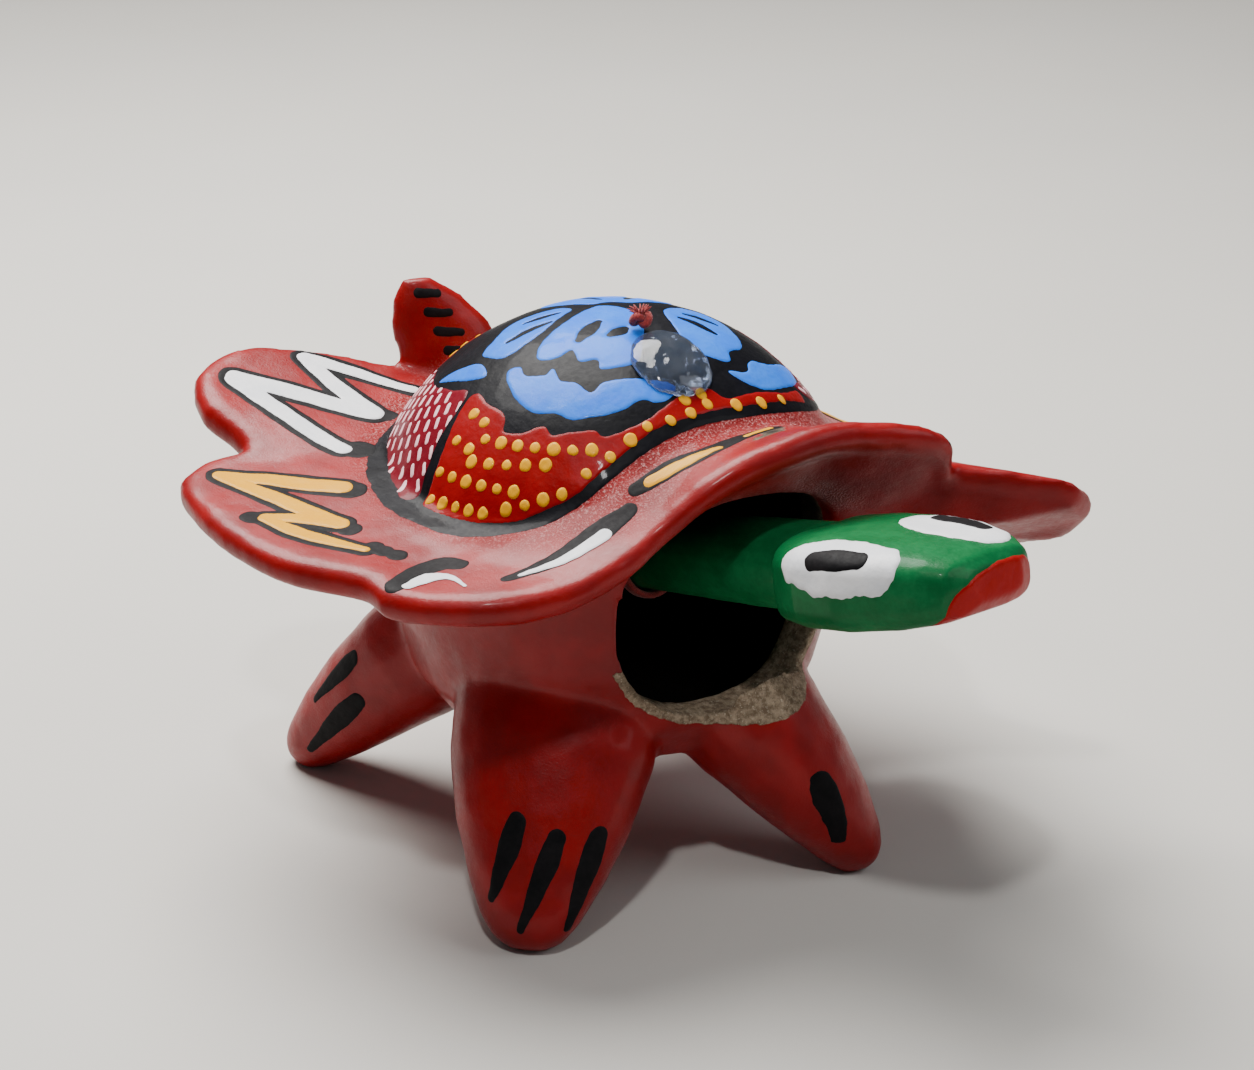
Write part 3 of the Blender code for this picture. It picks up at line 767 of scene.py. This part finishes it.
def dot_rows(rows):
    """Dots of slightly uneven size along rows."""
    dots = []
    for azimuth, arc, last_azimuth, last_arc, count in rows:
        for k in range(count):
            t = k / (count - 1)
            u, v = polar(azimuth + (last_azimuth - azimuth) * t, arc + (last_arc - arc) * t)
            size = DOT_SIZE + 0.07 * math.sin(5 * u + 3 * v)
            dots.append(stroke((u, v, size), (u + 0.15, v + 0.05, size * 0.9)))
    return together(dots)


def dashes(first_azimuth, columns, rows):
    """Leaning columns of small dashes, every other column half a dash further out."""
    marks = []
    for column in range(columns):
        for row in range(rows):
            azimuth = first_azimuth - 4.6 * column + 0.6 * row
            arc = 15.6 + 1.45 * row + 0.7 * (column % 2)
            marks.append(polar_stroke((azimuth, arc, 0.22), (azimuth + 1.5, arc + 0.6, 0.26)))
    return together(marks)


def paint_dome():
    def on_dome(name, shape, layer, colour, step=0.16):
        paint(name, shape, dome_spot, layer, colour, "root", "painted_dome", step)

    dark_panel = polar_patch(DARK_PANEL)
    far_dark_panel = polar_patch(FAR_DARK_PANEL)
    far_red_panel = polar_patch(FAR_RED_PANEL)
    wings = together([polar_patch(outline) for outline in WINGS.values()])
    marks = together([polar_stroke((a, r, w / 2), ((a + b) / 2, (r + s) / 2, w), (b, s, w / 2))
                      for a, r, b, s, w in WING_MARKS])
    on_dome("dome_black", polar_patch(RING, uneven=0.05), GROUND, BLACK, 0.3)
    on_dome("dome_red_panel", polar_patch(RED_PANEL), PANEL, PANEL_RED)
    on_dome("dome_dark_panel", dark_panel, PANEL, DARK_RED, 0.2)
    on_dome("dome_blue_wings", wings - marks, WING, BLUE)
    on_dome("dome_yellow_dots", dot_rows(DOT_ROWS), DOT, YELLOW, 0.13)
    on_dome("dome_pink_dashes", dashes(-86.5, 10, 6) & dark_panel, DASH, PINK, 0.12)
    on_dome("far_dark_panel", far_dark_panel, PANEL, DARK_RED, 0.2)
    on_dome("far_dashes", dashes(96, 8, 5) & far_dark_panel, DASH, PINK, 0.12)
    on_dome("far_red_panel", far_red_panel, PANEL, PANEL_RED, 0.2)
    on_dome("far_yellow_dots", dot_rows(FAR_DOT_ROWS) & far_red_panel, DOT, YELLOW, 0.13)


paint_dome()

# ---------------------------------------------------------------- head, neck and counterweight
head = luted("turtle_head", ["head", "neck"], voxel=0.24 * MM, grow=0.2 * MM, shrink=0.04 * MM, rounds=3,
             lump=0.05 * MM, lump_size=4 * MM)
finish_piece(head, "head_unit", "green_wood", GREEN, "head", "neck")
weight = luted("clay_counterweight", ["neck_counterweight"], voxel=0.3 * MM, grow=0.1 * MM,
               shrink=0.1 * MM, rounds=6, lump=0.2 * MM, lump_size=3 * MM)
finish_piece(weight, "head_unit", "green_clay", DARK_GREEN, "neck_counterweight")
HEAD_TREE = tree(head)
EYE_TILT = 0.9                                 # radians that the eyes face upward from the side
# each eye's side, then its white and pupil as strokes of (along the head, across the eye, half width)
EYES = [("right", -1, ((24.0, -3.4, 1.5), (27.4, -3.0, 2.6), (31.4, -2.7, 2.1)),
         ((26.2, -3.3, 0.85), (28.2, -3.0, 1.05), (30.2, -2.7, 0.85))),
        ("left", 1, ((28.2, -0.5, 1.7), (31.0, -0.8, 2.8), (34.0, -1.2, 2.3)),
         ((29.0, -1.7, 0.8), (31.0, -1.8, 0.95), (33.2, -2.0, 0.8)))]
MOUTH = [(-3.8, -2.6), (-4.4, -0.8), (-3.2, 1.0), (0, 1.8), (3.5, 1.6), (5.6, 0.4), (5.6, -2.8),
         (0, -3.4)]


def paint_head():
    finish = ("head_unit", "green_wood")
    for name, side, white, pupil in EYES:
        facing = (HEAD_LEFT * side * math.cos(EYE_TILT) + HEAD_UP * math.sin(EYE_TILT)).normalized()
        up = (HEAD_UP * math.cos(EYE_TILT) - HEAD_LEFT * side * math.sin(EYE_TILT)).normalized()
        spot = side_chart(HEAD_TREE, HEAD_ORIGIN, facing, HEAD_ALONG, up)
        paint(name + "_eye_white", stroke(*white, uneven=0.12), spot, EYE_WHITE, WHITE, *finish)
        paint(name + "_eye_pupil", stroke(*pupil), spot, EYE_PUPIL, LINE_BLACK, *finish)
    spot = side_chart(HEAD_TREE, HEAD_ORIGIN, HEAD_ALONG, HEAD_LEFT, HEAD_UP, reach=60 * MM)
    paint("mouth", patch(MOUTH), spot, LIPS, SCARLET, *finish)


paint_head()


# ---------------------------------------------------------------- brushwork on the rim, tail and feet
def grown(points, extra):
    return [(u, v, half + extra) for u, v, half in points]


def on_left(points, turn, scale):
    """Mirror strokes to the left side, then turn and scale them about the shell's axis."""
    c, s = math.cos(math.radians(turn)) * scale, math.sin(math.radians(turn)) * scale
    return [(u * c + v * s, u * s - v * c, half * scale) for u, v, half in points]


# strokes as (ahead of the shell's axis, left of it, half width)
REAR_ZIGZAG = [(-8.6, -21.2, 0.6), (-14.0, -23.6, 0.75), (-20.6, -26.4, 0.85), (-21.0, -26.2, 0.85),
               (-17.6, -21.0, 0.95), (-13.8, -16.6, 0.9), (-14.0, -16.4, 0.9), (-19.0, -17.8, 0.75),
               (-23.4, -19.0, 0.6), (-23.5, -18.8, 0.6), (-20.6, -14.6, 0.6), (-17.6, -11.2, 0.5)]
SIDE_ZIGZAG = [(-2.0, -24.0, 0.85), (-5.4, -28.0, 0.9), (-8.2, -32.3, 0.5), (-8.0, -32.4, 0.5),
               (-2.4, -29.4, 0.75), (3.8, -26.4, 0.75), (3.6, -26.6, 0.7), (1.6, -29.0, 0.6),
               (0.3, -31.4, 0.4), (0.5, -31.6, 0.4), (4.4, -29.6, 0.65), (9.0, -26.2, 0.25)]
REAR_BLOTS = [(-8.0, -20.0, 1.5), (-13.4, -15.4, 1.1), (-16.8, -10.6, 0.8)]
SIDE_BLOTS = [(-1.2, -23.4, 1.4), (5.0, -26.0, 1.1), (8.8, -25.4, 0.9), (9.8, -24.9, 0.9),
              (10.8, -24.2, 0.9), (0.0, -32.4, 1.1)]


def zigzags(name, points, blots, colour):
    """Strokes between corners that stay sharp: every third point ends one stroke.

    The black under them runs on past some of their ends in blots.
    """
    runs = [points[k:k + 3] for k in range(0, len(points), 3)]
    joins = [(first[-1], second[0]) for first, second in zip(runs, runs[1:])]
    finish = ("root", "red_enamel")
    inner = together([stroke(*grown(run, 0.15)) for run in runs] + [stroke(*join) for join in joins])
    outer = together([stroke(*grown(run, 0.75)) for run in runs] + [stroke(blot) for blot in blots])
    paint(name + "_outline", outer, top_spot, OUTLINE, LINE_BLACK, *finish)
    paint(name + "_fill", inner, top_spot, FILL, colour, *finish)


def paint_rim():
    finish = ("root", "red_enamel")
    zigzags("rear_right_zigzag", REAR_ZIGZAG, REAR_BLOTS, WHITE)
    zigzags("side_right_zigzag", SIDE_ZIGZAG, SIDE_BLOTS, YELLOW)
    zigzags("rear_left_zigzag", on_left(REAR_ZIGZAG, 16, 0.9), on_left(REAR_BLOTS, 16, 0.9), WHITE)
    zigzags("side_left_zigzag", on_left(SIDE_ZIGZAG, -2, 0.88), on_left(SIDE_BLOTS, -2, 0.88), YELLOW)
    black = (stroke((15.4, -26.2, 0.9), (13.9, -23.6, 1.0), (13.6, -21.4, 1.0), (14.6, -20.4, 0.7))
             + stroke((18.9, -18.4, 0.4), (19.0, -14.6, 0.85), (18.6, -10.6, 1.15), (18.3, -7.4, 0.7))
             + stroke((17.0, -6.2, 0.6), (17.1, -2.6, 1.0), (17.4, 0.4, 0.9), (16.5, 4.0, 0.7),
                      (15.2, 7.6, 0.5)))
    paint("front_stroke_outlines", black, top_spot, OUTLINE, LINE_BLACK, *finish)
    white = (stroke((16.0, -25.4, 0.45), (15.3, -23.4, 0.75), (16.0, -21.9, 0.35), (18.2, -21.5, 0.15))
             + stroke((19.1, -17.2, 0.2), (19.4, -13.6, 0.5), (19.1, -10.0, 0.65)))
    paint("front_white_strokes", white, top_spot, FILL, WHITE, *finish)
    yellow = (stroke((17.1, -5.0, 0.45), (17.3, -2.2, 0.6), (17.6, 1.0, 0.3))
              + stroke((16.7, 3.9, 0.25), (15.4, 6.8, 0.3)))
    paint("front_yellow_stroke", yellow, top_spot, FILL, YELLOW, *finish)
    leaves = [(12.6, 19.0, 17.6, 25.8), (17.6, 15.4, 22.6, 20.4)]
    outer = together([stroke((a, b, 0.7), ((a + c) / 2, (b + d) / 2, 1.2), (c, d, 0.6))
                      for a, b, c, d in leaves])
    inner = together([stroke((a, b, 0.25), ((a + c) / 2, (b + d) / 2, 0.65), (c, d, 0.2))
                      for a, b, c, d in leaves])
    paint("left_leaf_outlines", outer, top_spot, OUTLINE, LINE_BLACK, *finish)
    paint("left_leaves", inner, top_spot, FILL, YELLOW, *finish)


def body_side(azimuth, reach=60 * MM):
    """Chart of the body from one side: u to the left and v up from the foot of the axis.

    From a reach of 60 mm, clay less than 5 mm to that side of the axis is out of reach.
    """
    angle = math.radians(azimuth)
    facing = Vector((math.cos(angle), math.sin(angle), 0))
    return side_chart(BODY_TREE, AXIS, facing, Vector((-facing.y, facing.x, 0)), Vector((0, 0, 1)),
                      reach, 55 * MM)


# azimuth of each foot, then its claws as (left, height of the top, left, height of the toe)
CLAWS = {
    "front_right": (-30, [(-6.0, 10.6, -8.0, 4.6), (-2.7, 9.6, -5.5, 2.6), (0.6, 9.4, -1.7, 2.4)]),
    "front_left": (42, [(-8.0, 10.0, -7.4, 4.2), (1.0, 9.8, -1.5, 3.8), (5.0, 10.4, 2.4, 4.6)]),
    "rear_right": (-80, [(-13.7, 13.4, -17.8, 8.2), (-12.6, 9.8, -18.6, 2.8), (-18.6, 14.6, -21.2, 9.6)]),
    "rear_left": (127, [(-4.2, 12.6, -2.8, 7.4), (-0.6, 12.2, -0.8, 5.4), (2.8, 12.6, 1.2, 7.2)]),
}


def paint_feet_and_tail():
    finish = ("root", "red_enamel")
    for foot, (azimuth, claws) in CLAWS.items():
        shapes = [stroke((a, b, 0.75), (a * 0.7 + c * 0.3, b * 0.7 + d * 0.3, 0.9), (c, d, 0.3))
                  for a, b, c, d in claws]
        paint(foot + "_claws", together(shapes), body_side(azimuth), CLAW, LINE_BLACK, *finish)
    for name, azimuth, reach, flip in (("tail_front", -8, -16 * MM, 1), ("tail_back", 172, 60 * MM, -1)):
        bars = [stroke(((-11.4 + 0.7 * k) * flip, 41.7 - 1.7 * k, 0.42),
                       ((-9.6 + 0.9 * k) * flip, 41.5 - 1.75 * k, 0.35)) for k in range(4)]
        paint(name + "_bars", together(bars), body_side(azimuth, reach), BAR, LINE_BLACK, *finish)


paint_rim()
paint_feet_and_tail()


# ---------------------------------------------------------------- threads, knots and glue
def ply(name, node, body_name, turns=5, offset=0.17 * MM, radius=0.2 * MM):
    """Two strands twisted round each other over the length of a thread."""
    low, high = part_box(node)
    centre = (low + high) / 2
    bm = bmesh.new()
    for strand in (0, 1):
        path = []
        for k in range(49):
            t = k / 48
            angle = 2 * math.pi * (turns * t + strand / 2)
            path.append(Vector((centre.x + offset * math.cos(angle), centre.y + offset * math.sin(angle),
                                low.z + (high.z - low.z) * t)))
        tube(bm, path, radius)
    finish_piece(object_from(name, bm), body_name, "red_thread", THREAD, node)


def trefoil(centre, size, depth, count):
    """A closed trefoil knot: three lobes seen from above, depth times as deep as a lobe's unit."""
    path = []
    for k in range(count + 1):
        a = 2 * math.pi * k / count
        path.append(centre + Vector((math.sin(a) + 2 * math.sin(2 * a), math.cos(a) - 2 * math.cos(2 * a),
                                     -depth * math.sin(3 * a))) * size)
    return path


def knot(name, node, body_name):
    """A tight trefoil of thread filling the knot's own space."""
    low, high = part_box(node)
    half = (high.z - low.z) / 2
    bm = bmesh.new()
    tube(bm, trefoil((low + high) / 2, half * 0.235, 1.6, 72), half * 0.3)
    finish_piece(object_from(name, bm), body_name, "red_thread", THREAD, node)


def anchor(strands=16, radius=0.11 * MM):
    """The thread's knot on the dome, its ends frayed into a small tuft."""
    low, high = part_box("anchor_knot")
    centre, half = (low + high) / 2, (high.z - low.z) / 2
    bm = bmesh.new()
    tube(bm, trefoil(centre - Vector((0, 0, half * 0.25)), half * 0.2, 1.4, 60), half * 0.3)
    for k in range(strands):
        angle = 2.4 * k
        lean = 0.35 + 0.5 * ((k * 7) % 5) / 4
        out = Vector((math.cos(angle), math.sin(angle), 0))
        strand = []
        for t in (0, 0.25, 0.5, 0.75, 1.0):
            rise = Vector((0, 0, half * (0.9 * t - 0.5 * lean * t * t)))
            strand.append(centre + out * half * (0.2 + lean * 0.9 * t) + rise)
        tube(bm, strand, radius, sides=5, taper=0.5)
    finish_piece(object_from("anchor_tuft", bm), "root", "red_thread", THREAD, "anchor_knot")


def neck_wraps(turns=3, offset=3.55 * MM, width=0.7 * MM, radius=0.3 * MM):
    """Thread wound round the neck under the knot."""
    bm = bmesh.new()
    path = []
    for k in range(145):
        t = k / 144
        angle = 2 * math.pi * turns * t
        outward = HEAD_LEFT * math.cos(angle) + HEAD_UP * math.sin(angle)
        path.append(HEAD_ORIGIN + outward * offset + HEAD_ALONG * (t - 0.5) * width)
    tube(bm, path, radius)
    finish_piece(object_from("neck_wraps", bm), "head_unit", "red_thread", THREAD, "neck_loop")


def glue_drop(flatness=0.6):
    """The drop of glue, flattened onto the dome."""
    drop = luted("glue_drop", ["glue_dab"], voxel=0.22 * MM, grow=0.05 * MM, shrink=0.05 * MM, rounds=8,
                 lump=0.2 * MM, lump_size=2.5 * MM)
    for vert in drop.data.vertices:
        out = vert.co - DOME_CENTRE
        height = (out.length - DOME_RADIUS) * flatness
        vert.co = DOME_CENTRE + out.normalized() * (DOME_RADIUS + height)
    finish_piece(drop, "root", "clear_glue", GLUE, "glue_dab")


ply("upper_ply", "upper_thread", "thread_top")
ply("lower_ply", "lower_thread", "thread_bottom")
knot("knot_strands", "thread_knot", "knot")
anchor()
neck_wraps()
glue_drop()

# ---------------------------------------------------------------- floor, light and camera
CAMERA_PLACE = (0.2079, -0.1011, 0.1310)
CAMERA_LENS = 86.12                            # mm, for a sensor 36 mm wide
CAMERA_DROP = math.radians(24)                 # how far it looks down
CAMERA_AZIMUTH = math.radians(26)              # how far it stands to the right of straight ahead
FLOOR_HALF = 0.6
FLOOR_GAP = 0.05 * MM                          # between the floor and the soles


def add_floor():
    bm = bmesh.new()
    corners = ((-1, -1), (1, -1), (1, 1), (-1, 1))
    bm.faces.new([bm.verts.new((x * FLOOR_HALF, y * FLOOR_HALF, -FLOOR_GAP)) for x, y in corners])
    floor = object_from("floor", bm)
    floor.data.materials.append(floor_material())


def add_light(name, place, target, size, power, colour):
    """A round soft light at a place, turned to its target."""
    light = bpy.data.lights.new(name, "AREA")
    light.shape = "DISK"
    light.size = size
    light.energy = power
    light.color = colour
    item = bpy.data.objects.new(name, light)
    scene.collection.objects.link(item)
    item.location = place
    item.rotation_euler = (Vector(target) - Vector(place)).to_track_quat("-Z", "Y").to_euler()


def add_camera():
    data = bpy.data.cameras.new("camera")
    data.sensor_width = 36
    data.lens = CAMERA_LENS
    data.clip_start = 0.01
    item = bpy.data.objects.new("camera", data)
    scene.collection.objects.link(item)
    ahead = Vector((-math.cos(CAMERA_AZIMUTH) * math.cos(CAMERA_DROP),
                    math.sin(CAMERA_AZIMUTH) * math.cos(CAMERA_DROP), -math.sin(CAMERA_DROP)))
    right = Vector((math.sin(CAMERA_AZIMUTH), math.cos(CAMERA_AZIMUTH), 0))
    turn = Matrix((right, right.cross(ahead), -ahead)).transposed()
    item.matrix_world = Matrix.Translation(CAMERA_PLACE) @ turn.to_4x4()
    scene.camera = item


def add_world():
    world = bpy.data.worlds.new("studio")
    world.use_nodes = True
    background = world.node_tree.nodes["Background"]
    background.inputs["Color"].default_value = (0.92, 0.95, 1.0, 1.0)
    background.inputs["Strength"].default_value = 0.14
    scene.world = world


add_floor()
add_world()
add_light("key_light", (-0.16, -0.02, 0.30), (0, 0, 0.02), 0.26, 3.4, (1.0, 0.98, 0.95))
add_light("fill_light", (0.20, 0.24, 0.26), (0, 0, 0.02), 0.25, 0.45, (0.95, 0.97, 1.0))
add_light("sparkle_light", (0.16, -0.12, 0.40), (0, 0, 0.03), 0.03, 0.6, (1.0, 1.0, 1.0))
add_camera()
